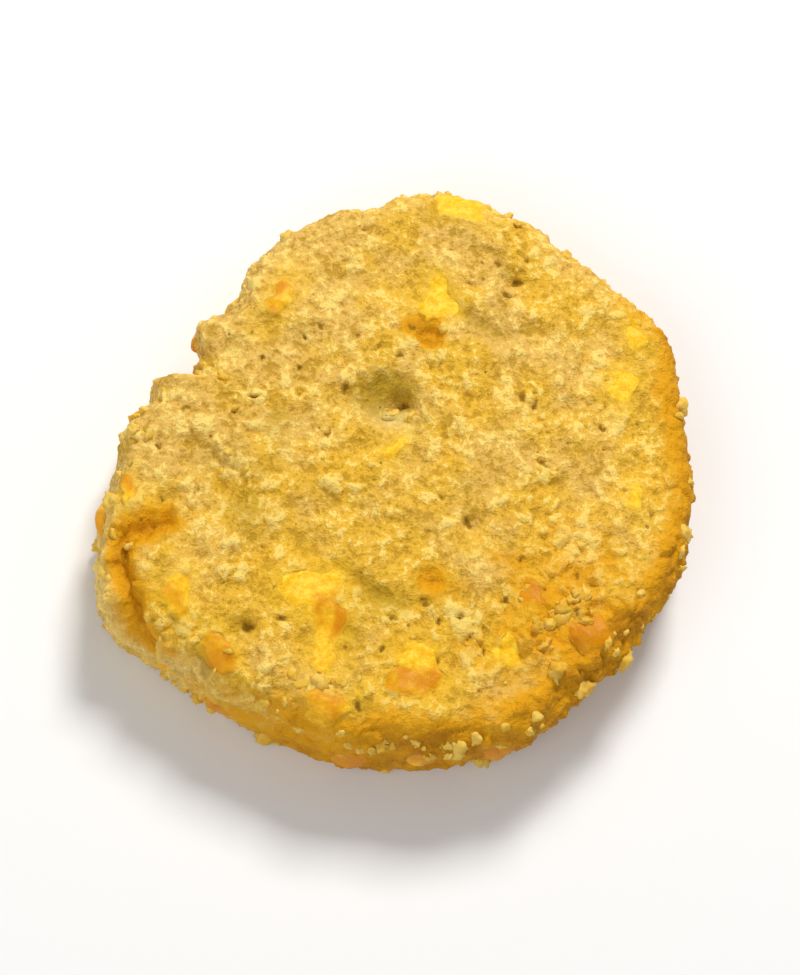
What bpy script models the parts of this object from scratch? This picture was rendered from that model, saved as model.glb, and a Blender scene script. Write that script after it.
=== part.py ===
# One baked cheese biscuit at its real size, in metres, +Z up.
# It lies on its flat baked underside, and the origin is the middle of that side.
# Seen from above, the front of the biscuit is towards -Y. Angles start at +X and turn anticlockwise.

import math
import random

import bmesh
import bpy
from mathutils import Euler, Vector, noise

MM = 0.001
SEED = 7

# The turned blank that the dough is shaped from
BLANK_RADIUS = 23.2 * MM
BLANK_HEIGHT = 9.3 * MM
SHOULDER_RADIUS = 2.4 * MM
FOOT_RADIUS = 1.3 * MM
WALL_BULGE = 0.25 * MM
CROWN = 0.4 * MM
SHOULDER_STEPS = 8
FOOT_STEPS = 4
TURN_STEPS = 96
WELD_DISTANCE = 0.01 * MM
FACE_SIZE = 0.72 * MM
DOUGH_TRIANGLES = 5600

# Bulges and flats of the outline: angle in degrees, reach in degrees, and how far it moves outwards
EDGE_SHAPE = (
    (143.0, 27.0, -4.3 * MM),
    (146.0, 4.0, 1.0 * MM),
    (151.5, 5.0, -1.5 * MM),
    (167.0, 9.0, -1.5 * MM),
    (103.0, 13.0, -0.9 * MM),
    (126.0, 12.0, -0.7 * MM),
    (206.0, 13.0, 2.2 * MM),
    (350.0, 14.0, 0.6 * MM),
    (6.0, 8.0, -0.6 * MM),
    (26.0, 12.0, 1.0 * MM),
    (48.0, 9.0, 0.2 * MM),
    (72.0, 9.0, 0.35 * MM),
    (290.0, 9.0, 0.35 * MM),
    (314.0, 10.0, -0.5 * MM),
    (252.0, 15.0, -0.4 * MM),
)

# Nicks and knobs of the upper edge, which fade towards the foot, given the same way
EDGE_NICKS = (
    (94.0, 4.5, -1.0 * MM),
    (134.0, 4.5, -0.9 * MM),
    (156.8, 2.4, -1.4 * MM),
    (161.4, 2.4, 0.7 * MM),
    (180.0, 6.0, -1.0 * MM),
)
NICK_AT_FOOT = 0.25
EDGE_WOBBLE = 0.45 * MM
EDGE_WOBBLES = 4.0

# Where the foot is tucked in under the upper edge, given the same way
FOOT_TUCKS = (
    (312.0, 34.0, -1.1 * MM),
    (147.0, 8.0, -1.6 * MM),
)

# The top crust overhangs the wall in a thin, uneven lip round the front
LIP_HEIGHT = 7.3 * MM
LIP_HALF_WIDTH = 0.7 * MM
LIP_REACH = 0.5 * MM
LIP_ANGLES = (208.0, 338.0)
LIP_WAVE_SIZE = 3.2 * MM

# Pits in the top face: place in X and Y, radius and depth
PITS = (
    (-0.7 * MM, 4.7 * MM, 3.0 * MM, 1.3 * MM),
    (0.1 * MM, 4.9 * MM, 1.3 * MM, 0.8 * MM),
    (-1.0 * MM, 3.7 * MM, 1.1 * MM, 0.6 * MM),
    (2.5 * MM, 10.0 * MM, 1.3 * MM, 0.9 * MM),
    (9.1 * MM, 15.1 * MM, 1.2 * MM, 0.7 * MM),
    (-12.3 * MM, -14.3 * MM, 1.6 * MM, 0.7 * MM),
    (5.3 * MM, -5.5 * MM, 1.1 * MM, 0.5 * MM),
    (2.0 * MM, -10.3 * MM, 1.3 * MM, 0.6 * MM),
    (-14.2 * MM, -1.6 * MM, 2.6 * MM, 0.5 * MM),
)

# Furrows: a line across the top face in millimetres, its half width and its depth
FURROWS = (
    (((3.6, 14.2), (5.8, 11.6), (8.0, 10.4)), 0.8 * MM, 0.45 * MM),
    (((-5.1, -8.9), (-1.5, -11.5), (0.0, -12.2)), 0.8 * MM, 0.4 * MM),
)

# A flap of dough at the left has come away along a crack, which runs from the top face down over the edge
CRACK_LINE = (
    (-18.3, -5.4, 9.4),
    (-21.6, -6.8, 9.2),
    (-21.9, -8.8, 9.1),
    (-21.0, -11.6, 9.0),
    (-20.9, -13.2, 8.0),
    (-19.4, -14.6, 6.2),
)
FLAP_CRACK = (CRACK_LINE, 1.05 * MM, 1.4 * MM)
FURROW_EDGE = 1.4

# The toasted, crumbly patch near the front right edge
CRUMBLY_MIDDLE = Vector((11.6 * MM, -12.9 * MM))
CRUMBLY_REACH = 6.0 * MM
CRUMBLY_LIFT = 0.2 * MM
CRUMBLE_SIZE = 1.7 * MM
CRUMBLE_HEIGHT = 0.45 * MM

# A seam runs part of the way round the wall, where the cut log of dough has slumped
SEAM_HEIGHT = 4.6 * MM
SEAM_HALF_WIDTH = 0.6 * MM
SEAM_DEPTH = 0.35 * MM
SEAM_SWAY = 0.9 * MM
SEAM_SWAY_SIZE = 6.0 * MM
SEAM_ANGLES = ((222.0, 268.0), (322.0, 372.0), (60.0, 104.0))
FULL_SHARE = 0.75

# Lumpiness of the whole surface: the size of the waves and how high they are
SWELL_SIZE = 7.5 * MM
SWELL_HEIGHT = 0.5 * MM
LUMP_SIZE = 2.6 * MM
LUMP_HEIGHT = 0.42 * MM
CREASE_SIZE = 4.2 * MM
CREASE_DEPTH = 0.42 * MM

# Where each kind of relief starts and is full, by how far the surface faces up and by height
TOP_FACING = (0.5, 0.9)
WALL_FACING = (0.75, 0.35)
UPPER_SHARE = (0.25, 0.6)
NICKED_SHARE = (0.1, 0.8)
TUCKED_SHARE = (0.75, 0.1)
WIDENED_SHARE = (0.1, 0.95)
CLEAR_OF_TRAY = (0.4 * MM, 2.4 * MM)
TRAY_FILM = 0.02 * MM

# Cheese bits that show on the top face: X, Y, length, width and turn in degrees
TOP_BITS = (
    (-6.4 * MM, -12.7 * MM, 7.2 * MM, 2.8 * MM, 100.0),
    (0.5 * MM, -17.6 * MM, 4.0 * MM, 3.6 * MM, 20.0),
    (-6.7 * MM, -20.2 * MM, 2.8 * MM, 2.4 * MM, 0.0),
    (-14.4 * MM, -16.2 * MM, 3.8 * MM, 3.0 * MM, 130.0),
    (-17.6 * MM, -11.4 * MM, 3.8 * MM, 2.7 * MM, 105.0),
    (7.8 * MM, -15.4 * MM, 2.8 * MM, 1.9 * MM, 50.0),
    (14.6 * MM, -14.2 * MM, 3.2 * MM, 2.4 * MM, 30.0),
    (10.2 * MM, -11.0 * MM, 2.4 * MM, 1.9 * MM, 80.0),
    (17.9 * MM, 5.9 * MM, 3.0 * MM, 2.2 * MM, 75.0),
    (19.0 * MM, 10.6 * MM, 2.6 * MM, 1.8 * MM, 120.0),
    (5.2 * MM, 21.4 * MM, 4.4 * MM, 2.4 * MM, 170.0),
    (-9.4 * MM, 13.0 * MM, 3.8 * MM, 1.9 * MM, 55.0),
    (2.8 * MM, 12.9 * MM, 3.0 * MM, 2.3 * MM, 40.0),
    (-0.5 * MM, 0.6 * MM, 2.2 * MM, 1.6 * MM, 60.0),
    (18.2 * MM, -3.2 * MM, 2.2 * MM, 1.5 * MM, 95.0),
    (-21.4 * MM, -2.6 * MM, 2.6 * MM, 1.9 * MM, 100.0),
)
TOP_BIT_THICKNESS = 0.55
TOP_BIT_PROUD = 0.25
FINE_BIT_LENGTH = 3.6 * MM

# Cheese bits in the wall, spread round it by rule
WALL_BITS = 17
WALL_BIT_LENGTH = (1.8 * MM, 3.6 * MM)
WALL_BIT_WIDTH = (0.55, 0.85)
WALL_BIT_HEIGHT = (2.4 * MM, 6.2 * MM)
WALL_BIT_THICKNESS = 0.8
WALL_BIT_TILT = 0.6
WALL_BIT_SUNK = 0.26

# Crumbs of dough that cling round the upper and the lower edge, one in three of them low
CRUMBS = 26
CRUMB_SIZE = (0.9 * MM, 1.9 * MM)
CRUMB_FLATNESS = (0.7, 0.95)
CRUMB_HEIGHT = (6.8 * MM, 7.9 * MM)
LOW_CRUMB_LIFT = 0.75
CRUMB_SUNK = 0.2
RING_JITTER = 0.4

# A bit or crumb is a ball with bumps, pressed to an oval
BALL_BUMP_SIZE = 0.38
BALL_BUMP_HEIGHT = 0.34

DOUGH_COLOUR = (0.62, 0.43, 0.13, 1.0)
DOUGH_ROUGHNESS = 0.72
SMOOTH_BELOW = 50.0


def clear_scene():
    for thing in list(bpy.data.objects):
        bpy.data.objects.remove(thing)


def new_collection(name):
    collection = bpy.data.collections.new(name)
    bpy.context.scene.collection.children.link(collection)
    return collection


def baked_dough():
    material = bpy.data.materials.new("baked_dough")
    material.use_nodes = True
    shader = material.node_tree.nodes["Principled BSDF"]
    shader.inputs["Base Color"].default_value = DOUGH_COLOUR
    shader.inputs["Roughness"].default_value = DOUGH_ROUGHNESS
    shader.inputs["Metallic"].default_value = 0.0
    return material


# Goes smoothly from 0 at the first value to 1 at the second, also where the first is the larger.
def smooth_step(first, second, value):
    share = min(1.0, max(0.0, (value - first) / (second - first)))
    return share * share * (3 - 2 * share)


# How far angle a is from angle b, between -180 and 180 degrees.
def turn_between(a, b):
    return (a - b + 180.0) % 360.0 - 180.0


# Full inside a range of angles, and fading to nothing at its two ends.
def share_between(angle, ends):
    start, end = ends
    from_middle = abs(turn_between(angle, (start + end) / 2)) / ((end - start) / 2)
    return 1.0 - smooth_step(FULL_SHARE, 1.0, from_middle)


# Smooth random waves between about -1 and 1.
def waves(place, size, seed):
    return noise.noise(place / size + Vector((seed, 1.7 * seed, 2.3 * seed)))


def quarter_turn(middle_r, middle_z, radius, first_angle, steps):
    for step in range(steps + 1):
        angle = math.radians(first_angle - 90.0 * step / steps)
        yield middle_r + radius * math.cos(angle), middle_z + radius * math.sin(angle)


# The blank's half section, from the middle of the top, over the shoulder, down the wall and under the foot.
def blank_section():
    shoulder_z = BLANK_HEIGHT - SHOULDER_RADIUS
    shoulder = quarter_turn(BLANK_RADIUS - SHOULDER_RADIUS, shoulder_z, SHOULDER_RADIUS, 90.0, SHOULDER_STEPS)
    belly = (BLANK_RADIUS + WALL_BULGE, (shoulder_z + FOOT_RADIUS) / 2)
    foot = quarter_turn(BLANK_RADIUS - FOOT_RADIUS, FOOT_RADIUS, FOOT_RADIUS, 0.0, FOOT_STEPS)
    return [(0.0, BLANK_HEIGHT), *shoulder, belly, *foot, (0.0, 0.0)]


# Applies every modifier, so that the object's own mesh is the finished one.
def apply_modifiers(thing):
    graph = bpy.context.evaluated_depsgraph_get()
    finished = bpy.data.meshes.new_from_object(thing.evaluated_get(graph))
    thing.modifiers.clear()
    thing.data = finished


def turned_blank(collection):
    section = blank_section()
    edges = [(i, i + 1) for i in range(len(section) - 1)]
    mesh = bpy.data.meshes.new("biscuit")
    mesh.from_pydata([(r, 0.0, z) for r, z in section], edges, [])
    blank = bpy.data.objects.new("biscuit", mesh)
    collection.objects.link(blank)
    turn = blank.modifiers.new("Turn", "SCREW")
    turn.steps = TURN_STEPS
    turn.render_steps = TURN_STEPS
    turn.use_merge_vertices = True
    turn.merge_threshold = WELD_DISTANCE
    even = blank.modifiers.new("Even faces", "REMESH")
    even.mode = "VOXEL"
    even.voxel_size = FACE_SIZE
    even.adaptivity = 0.0
    apply_modifiers(blank)
    return blank


def bumps_round(angle, bumps):
    return sum(out * math.exp(-((turn_between(angle, middle) / reach) ** 2)) for middle, reach, out in bumps)


# How far the edge is from the middle, at an angle in degrees and a share of the height.
def edge_radius(angle, height):
    turn = math.radians(angle)
    wobble = noise.noise(Vector((math.cos(turn), math.sin(turn), 0.4)) * EDGE_WOBBLES)
    nicked = NICK_AT_FOOT + (1.0 - NICK_AT_FOOT) * smooth_step(*NICKED_SHARE, height)
    radius = BLANK_RADIUS + bumps_round(angle, EDGE_SHAPE) + nicked * bumps_round(angle, EDGE_NICKS)
    return radius + smooth_step(*TUCKED_SHARE, height) * bumps_round(angle, FOOT_TUCKS) + EDGE_WOBBLE * wobble


# The distance to a line whose points are in millimetres, across the top face or in space.
def distance_to_line(place, line):
    nearest = BLANK_RADIUS
    for start_mm, end_mm in zip(line, line[1:]):
        start = Vector(start_mm) * MM
        along = Vector(end_mm) * MM - start
        share = min(1.0, max(0.0, (place - start).dot(along) / along.length_squared))
        nearest = min(nearest, (place - start - along * share).length)
    return nearest


def pits_at(place):
    depth = 0.0
    for x, y, radius, deep in PITS:
        away = (place - Vector((x, y))).length / radius
        if away < 1.0:
            depth += deep * (1.0 - away * away) ** 1.5
    return depth


def furrow_at(place, furrow):
    line, half_width, deep = furrow
    away = distance_to_line(place, line) / half_width
    return deep * math.exp(-FURROW_EDGE * away * away)


def seam_at(angle, place):
    sway = SEAM_SWAY * waves(place, SEAM_SWAY_SIZE, 0.0)
    off = (place.z - SEAM_HEIGHT - sway) / SEAM_HALF_WIDTH
    return SEAM_DEPTH * math.exp(-off * off) * sum(share_between(angle, ends) for ends in SEAM_ANGLES)


def lip_at(angle, place):
    off = (place.z - LIP_HEIGHT) / LIP_HALF_WIDTH
    uneven = 0.5 + waves(place, LIP_WAVE_SIZE, 0.0)
    return LIP_REACH * uneven * share_between(angle, LIP_ANGLES) * math.exp(-off * off)


# Swells, lumps and creases of the dough, with more of a crumble where it has toasted.
def lumps_at(place):
    height = SWELL_HEIGHT * waves(place, SWELL_SIZE, 0.0)
    height += LUMP_HEIGHT * waves(place, LUMP_SIZE, 9.1)
    height -= CREASE_DEPTH * abs(waves(place, CREASE_SIZE, 2.0))
    away = (place.xy - CRUMBLY_MIDDLE).length / CRUMBLY_REACH
    crumbly = CRUMBLY_LIFT + CRUMBLE_HEIGHT * waves(place, CRUMBLE_SIZE, 4.0)
    return height + crumbly * math.exp(-away * away)


# Moves a point of the round blank to where it is on the uneven biscuit.
def shaped(point, normal):
    angle = math.degrees(math.atan2(point.y, point.x)) % 360.0
    height = point.z / BLANK_HEIGHT
    out = math.hypot(point.x, point.y) / BLANK_RADIUS
    widen = 1.0 + (edge_radius(angle, height) / BLANK_RADIUS - 1.0) * smooth_step(*WIDENED_SHARE, out)
    place = Vector((point.x * widen, point.y * widen, point.z))
    place.z += CROWN * height * (1.0 - out * out)
    relief = lumps_at(place) - furrow_at(place, FLAP_CRACK)
    relief -= pits_at(place.xy) * smooth_step(*TOP_FACING, normal.z)
    relief -= sum(furrow_at(place.xy, furrow) for furrow in FURROWS) * smooth_step(*UPPER_SHARE, height)
    relief += (lip_at(angle, place) - seam_at(angle, place)) * smooth_step(*WALL_FACING, abs(normal.z))
    place += normal * relief * smooth_step(*CLEAR_OF_TRAY, point.z)
    place.z = max(0.0, place.z)
    return place


def shape_dough(biscuit):
    mesh = biscuit.data
    normals = [vertex.normal.copy() for vertex in mesh.vertices]
    for vertex, normal in zip(mesh.vertices, normals):
        vertex.co = shaped(vertex.co.copy(), normal)
    mesh.update()


# Takes faces away where the surface is flat, as on the underside, until the dough has its share of triangles.
def thin_out(biscuit):
    count = sum(len(face.vertices) - 2 for face in biscuit.data.polygons)
    thin = biscuit.modifiers.new("Thin out", "DECIMATE")
    thin.ratio = min(1.0, DOUGH_TRIANGLES / count)
    thin.use_collapse_triangulate = True
    apply_modifiers(biscuit)


# A melted lump: a ball with bumps, pressed to an oval.
def lump(name, collection, place, size, turn, detail, seed):
    mesh = bpy.data.meshes.new(name)
    ball = bmesh.new()
    bmesh.ops.create_icosphere(ball, subdivisions=detail, radius=0.5)
    for vertex in ball.verts:
        swell = 1.0 + BALL_BUMP_HEIGHT * waves(vertex.co, BALL_BUMP_SIZE, seed)
        vertex.co = vertex.co * size * swell
    ball.to_mesh(mesh)
    ball.free()
    piece = bpy.data.objects.new(name, mesh)
    piece.location = place
    piece.rotation_euler = turn
    collection.objects.link(piece)


# The top of the dough at a place, by a line dropped from above.
def top_place(biscuit, x, y):
    _, place, _, _ = biscuit.ray_cast(Vector((x, y, 2 * BLANK_HEIGHT)), Vector((0.0, 0.0, -1.0)))
    return place


# The wall of the dough at an angle and a height, and the way that it faces there.
def wall_place(biscuit, angle, height):
    out = Vector((math.cos(math.radians(angle)), math.sin(math.radians(angle)), 0.0))
    start = out * 2 * BLANK_RADIUS + Vector((0.0, 0.0, height))
    _, place, _, _ = biscuit.ray_cast(start, -out)
    return place, out


def add_top_bits(biscuit, collection):
    for number, (x, y, length, width, turn) in enumerate(TOP_BITS):
        thick = width * TOP_BIT_THICKNESS
        place = top_place(biscuit, x, y) + Vector((0.0, 0.0, thick * (TOP_BIT_PROUD - 0.5)))
        size = Vector((length, width, thick))
        detail = 3 if length > FINE_BIT_LENGTH else 2
        turned = Euler((0.0, 0.0, math.radians(turn)))
        lump(f"top_bit_{number:02d}", collection, place, size, turned, detail, number)


def add_wall_bits(biscuit, collection, dice):
    for number in range(WALL_BITS):
        angle = (number + dice.uniform(-RING_JITTER, RING_JITTER)) * 360.0 / WALL_BITS
        place, out = wall_place(biscuit, angle, dice.uniform(*WALL_BIT_HEIGHT))
        length = dice.uniform(*WALL_BIT_LENGTH)
        width = length * dice.uniform(*WALL_BIT_WIDTH)
        size = Vector((width * WALL_BIT_THICKNESS, length, width))
        turned = Euler((dice.uniform(-WALL_BIT_TILT, WALL_BIT_TILT), 0.0, math.radians(angle)))
        lump(f"wall_bit_{number:02d}", collection, place - out * width * WALL_BIT_SUNK, size, turned, 2, number)


def add_crumbs(biscuit, collection, dice):
    for number in range(CRUMBS):
        angle = (number + dice.uniform(-RING_JITTER, RING_JITTER)) * 360.0 / CRUMBS
        across = dice.uniform(*CRUMB_SIZE)
        high = dice.uniform(*CRUMB_HEIGHT)
        low = across * LOW_CRUMB_LIFT
        place, out = wall_place(biscuit, angle, low if number % 3 == 0 else high)
        size = Vector((across, across, across * dice.uniform(*CRUMB_FLATNESS)))
        turned = Euler((0.0, 0.0, math.radians(angle)))
        lump(f"crumb_{number:02d}", collection, place - out * across * CRUMB_SUNK, size, turned, 2, number)


# Fuses every bit and crumb to the dough in one union, then removes them.
def fuse(biscuit, collection):
    join = biscuit.modifiers.new("Fuse bits", "BOOLEAN")
    join.operation = "UNION"
    join.operand_type = "COLLECTION"
    join.collection = collection
    join.solver = "MANIFOLD"
    apply_modifiers(biscuit)
    for piece in list(collection.objects):
        bpy.data.objects.remove(piece)
    bpy.data.collections.remove(collection)


# Presses the underside quite flat, as the tray did.
def flatten_underside(biscuit):
    for vertex in biscuit.data.vertices:
        if vertex.co.z < TRAY_FILM:
            vertex.co.z = 0.0
    biscuit.data.update()


def finish_surface(biscuit):
    biscuit.data.materials.clear()
    biscuit.data.materials.append(baked_dough())
    biscuit.data.shade_smooth()
    biscuit.data.set_sharp_from_angle(angle=math.radians(SMOOTH_BELOW))


def main():
    clear_scene()
    dice = random.Random(SEED)
    bits = new_collection("bits_and_crumbs")
    biscuit = turned_blank(new_collection("cheese_biscuit"))
    shape_dough(biscuit)
    thin_out(biscuit)
    add_top_bits(biscuit, bits)
    add_wall_bits(biscuit, bits, dice)
    add_crumbs(biscuit, bits, dice)
    fuse(biscuit, bits)
    flatten_underside(biscuit)
    finish_surface(biscuit)


main()
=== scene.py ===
import math
import random

import bmesh
import bpy
import numpy as np
from mathutils import Euler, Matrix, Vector, noise
from mathutils.bvhtree import BVHTree


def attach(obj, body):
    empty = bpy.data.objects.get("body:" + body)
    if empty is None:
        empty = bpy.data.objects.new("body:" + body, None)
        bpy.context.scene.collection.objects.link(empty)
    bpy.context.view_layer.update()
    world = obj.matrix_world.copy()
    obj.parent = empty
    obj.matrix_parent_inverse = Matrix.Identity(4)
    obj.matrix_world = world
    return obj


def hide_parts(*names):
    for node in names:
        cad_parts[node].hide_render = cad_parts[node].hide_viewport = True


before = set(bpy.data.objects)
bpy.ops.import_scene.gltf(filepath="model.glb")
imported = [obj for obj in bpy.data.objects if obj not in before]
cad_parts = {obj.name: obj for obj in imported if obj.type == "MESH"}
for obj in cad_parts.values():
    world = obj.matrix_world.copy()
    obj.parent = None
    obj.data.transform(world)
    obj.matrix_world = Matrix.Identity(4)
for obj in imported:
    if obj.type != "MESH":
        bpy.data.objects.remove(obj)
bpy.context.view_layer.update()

mm = 0.001


# Small helpers that every piece uses

def smoothStep(low, high, value):
    share = np.clip((value - low) / (high - low), 0.0, 1.0)
    return share * share * (3 - 2 * share)


def turnBetween(a, b):
    return (a - b + 180.0) % 360.0 - 180.0


# Smooth random waves between about -1 and 1, for a whole array of places
def waves(places, size, seed):
    spots = (places / size + np.array((seed, 1.7 * seed, 2.3 * seed))).tolist()
    return np.array([noise.noise(spot) for spot in spots])


# Grains packed together: how far each place is into its grain, and the grain's own random number
def grains(places, size, seed):
    inside = np.empty(len(places))
    lot = np.empty(len(places))
    for i, spot in enumerate((places / size + seed).tolist()):
        distances, middles = noise.voronoi(spot)
        inside[i] = distances[1] - distances[0]
        lot[i] = 0.5 + 0.5 * noise.cell(middles[0] * 7.3)
    return inside, lot


def newObject(name, mesh):
    thing = bpy.data.objects.new(name, mesh)
    bpy.context.scene.collection.objects.link(thing)
    return thing


def applyModifiers(thing):
    graph = bpy.context.evaluated_depsgraph_get()
    finished = bpy.data.meshes.new_from_object(thing.evaluated_get(graph))
    thing.modifiers.clear()
    thing.data = finished


def vertexPlaces(mesh):
    flat = np.empty(len(mesh.vertices) * 3)
    mesh.vertices.foreach_get("co", flat)
    return flat.reshape(-1, 3)


def vertexNormals(mesh):
    flat = np.empty(len(mesh.vertices) * 3)
    mesh.vertex_normals.foreach_get("vector", flat)
    return flat.reshape(-1, 3)


def moveVertices(mesh, places):
    mesh.vertices.foreach_set("co", places.ravel())
    mesh.update()


# Up to three masks, kept in one colour attribute that the materials read
def writeMarks(mesh, name, red, green, blue):
    marks = mesh.attributes.new(name, "FLOAT_COLOR", "POINT")
    values = np.stack((red, green, blue, np.ones(len(red))), axis=1)
    marks.data.foreach_set("color", np.clip(values, 0.0, 1.0).astype(np.float32).ravel())


# The dough: a turned blank, remeshed finely and pushed to shape

dough = {
    "radius": 23.2 * mm,
    "height": 9.3 * mm,
    "shoulder": 2.4 * mm,
    "foot": 1.3 * mm,
    "bulge": 0.25 * mm,
    "crown": 0.4 * mm,
    "shoulderSteps": 12,
    "footSteps": 6,
    "turnSteps": 160,
    "mergeGap": 0.01 * mm,
    "faceSize": 0.197 * mm,
    "undersideThinned": 0.9,
    "widening": (0.1, 0.95),
    # what lies lower than this is the flat underside
    "trayFilm": 0.05 * mm,
    # heights between which relief comes in
    "broadRise": (0.4 * mm, 2.4 * mm),
    "fineRise": (0.05 * mm, 0.6 * mm),
    # how far up a place faces, on the top face and on the wall
    "topFacing": (0.5, 0.9),
    "wallFacing": (0.75, 0.35),
    # angle, reach in degrees, and how far the outline moves outwards in millimetres
    "edgeShape": (
        (143.0, 27.0, -4.3), (146.0, 4.0, 1.0), (151.5, 5.0, -1.5), (167.0, 9.0, -1.5), (103.0, 13.0, -0.9),
        (126.0, 12.0, -0.7), (206.0, 13.0, 2.2), (350.0, 14.0, 0.6), (6.0, 8.0, -0.6), (26.0, 12.0, 1.0),
        (48.0, 9.0, 0.2), (72.0, 9.0, 0.35), (290.0, 9.0, 0.35), (314.0, 10.0, -0.5), (252.0, 15.0, -0.4),
    ),
    "edgeNicks": (
        (94.0, 4.5, -1.0), (134.0, 4.5, -0.9), (156.8, 2.4, -1.4), (161.4, 2.4, 0.7), (180.0, 6.0, -1.0),
    ),
    "nickAtFoot": 0.25,
    "footTucks": ((312.0, 34.0, -1.1), (147.0, 8.0, -1.6)),
    # shares of the height between which the nicks deepen and the tucks fade
    "nickRise": (0.1, 0.8),
    "tuckFade": (0.75, 0.1),
    "wobble": 0.45 * mm,
    "wobbleSize": 0.25,
    "wobbleLevel": 0.4,
    "stretchFade": 0.75,
    "lipHeight": 7.3 * mm,
    "lipHalfWidth": 0.7 * mm,
    "lipReach": 0.5 * mm,
    "lipAngles": (208.0, 338.0),
    "lipMean": 0.5,
    "lipWaveSize": 3.2 * mm,
    # place, radius and depth in millimetres
    "pits": (
        (-0.7, 4.7, 3.0, 1.3), (0.1, 4.9, 1.3, 0.8), (-1.0, 3.7, 1.1, 0.6), (2.5, 10.0, 1.3, 0.9),
        (9.1, 15.1, 1.2, 0.7), (-12.3, -14.3, 1.6, 0.7), (5.3, -5.5, 1.1, 0.5), (2.0, -10.3, 1.3, 0.6),
        (-14.2, -1.6, 2.6, 0.5),
    ),
    "pitCurve": 1.5,
    # line in millimetres, half width and depth
    "furrows": (
        (((3.6, 14.2), (5.8, 11.6), (8.0, 10.4)), 0.8 * mm, 0.45 * mm),
        (((-5.1, -8.9), (-1.5, -11.5), (0.0, -12.2)), 0.8 * mm, 0.4 * mm),
    ),
    "furrowSteepness": 1.4,
    "furrowRise": (0.25, 0.6),
    # the crack runs from the top face down over the edge
    "flapCrack": (
        (
            (-18.3, -5.4, 9.4), (-21.6, -6.8, 9.2), (-21.9, -8.8, 9.1),
            (-21.0, -11.6, 9.0), (-20.9, -13.2, 8.0), (-19.4, -14.6, 6.2),
        ),
        1.05 * mm,
        1.4 * mm,
    ),
    "crumblyPlace": (11.6 * mm, -12.9 * mm),
    "crumblyReach": 6.0 * mm,
    "crumblyLift": 0.2 * mm,
    "seamHeight": 4.6 * mm,
    "seamHalfWidth": 0.6 * mm,
    "seamDepth": 0.35 * mm,
    "seamSway": (6.0 * mm, 0.9 * mm),
    "seamAngles": ((222.0, 268.0), (322.0, 372.0), (60.0, 104.0)),
    # size, height and seed of each run of waves that the solid has too
    "swell": (7.5 * mm, 0.5 * mm, 0.0),
    "lump": (2.6 * mm, 0.42 * mm, 9.1),
    "crease": (4.2 * mm, 0.42 * mm, 2.0),
    "crumble": (1.7 * mm, 0.45 * mm, 4.0),
    # crumbs pressed into the crust: size, rise, share of them that stand up, seed
    "pressedCrumbs": ((1.5 * mm, 0.27 * mm, 0.42, 3.0), (0.8 * mm, 0.17 * mm, 0.45, 6.0)),
    "pressedBlur": 0.08,
    "pressedEdge": 0.4,
    # size, reach and seeds of the waves that bend their outlines
    "pressedBend": (1.1 * mm, 0.45 * mm, (11.0, 12.0, 13.0)),
    # size, height and seed of the finer waves
    "fineWaves": ((1.0 * mm, 0.13 * mm, 21.0), (0.5 * mm, 0.1 * mm, 22.0), (0.31 * mm, 0.05 * mm, 23.0)),
    # how rough the crust is
    "roughMean": 0.9,
    "roughWaves": (5.0 * mm, 0.6, 31.0),
    "roughCrumbly": 0.8,
    "roughCrack": 0.7,
    "roughRange": (0.5, 1.7),
    # small holes that the photo shows: place and radius in millimetres
    "pores": (
        (8.1, 16.6, 0.4), (10.3, 16.7, 0.35), (9.6, 15.0, 0.5), (8.8, 13.6, 0.4), (9.6, 5.2, 0.4),
        (16.0, 2.9, 0.35), (11.1, -0.3, 0.5), (5.1, -5.1, 0.6), (-5.8, 1.8, 0.4), (-10.8, 8.0, 0.35),
        (-18.9, 0.5, 0.4), (-18.6, -3.7, 0.35), (-11.9, -13.9, 0.6), (-9.4, -13.2, 0.5),
        (-13.0, 3.5, 0.3), (-11.4, 4.7, 0.3),
        (-7.9, 7.2, 0.33), (-7.4, 9.9, 0.3), (-15.9, -2.9, 0.35), (6.1, -13.8, 0.3), (5.0, -14.4, 0.3),
        (6.0, -15.5, 0.3), (2.7, -13.3, 0.4), (2.4, -16.6, 0.28), (-1.8, -15.7, 0.35), (-1.0, -13.0, 0.45),
        (1.6, -12.0, 0.45), (-3.7, -20.1, 0.4), (7.9, -11.6, 0.33), (9.1, -8.4, 0.35), (-4.3, 5.6, 0.45),
        (-1.6, -0.6, 0.3), (0.1, 8.5, 0.45), (6.8, 7.3, 0.3), (0.5, 4.7, 0.5), (-0.9, 3.4, 0.45),
    ),
    "poreScale": 0.85,
    "poreDepth": 0.34 * mm,
    "poreStretch": (1.0, 1.9),
    "poreNarrowing": 1.25,
    "poreEdge": (0.1, 1.2),
    "poreBend": (0.5 * mm, 0.3 * mm, (33.0, 34.0)),
    "poreSeed": 3,
    # others spread at random, with depths as shares of their radius
    "strayPores": 45,
    "strayPoreRadius": (0.18 * mm, 0.34 * mm),
    "strayPoreDepth": (0.6, 1.1),
    "strayPoreField": 0.93,
}


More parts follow.
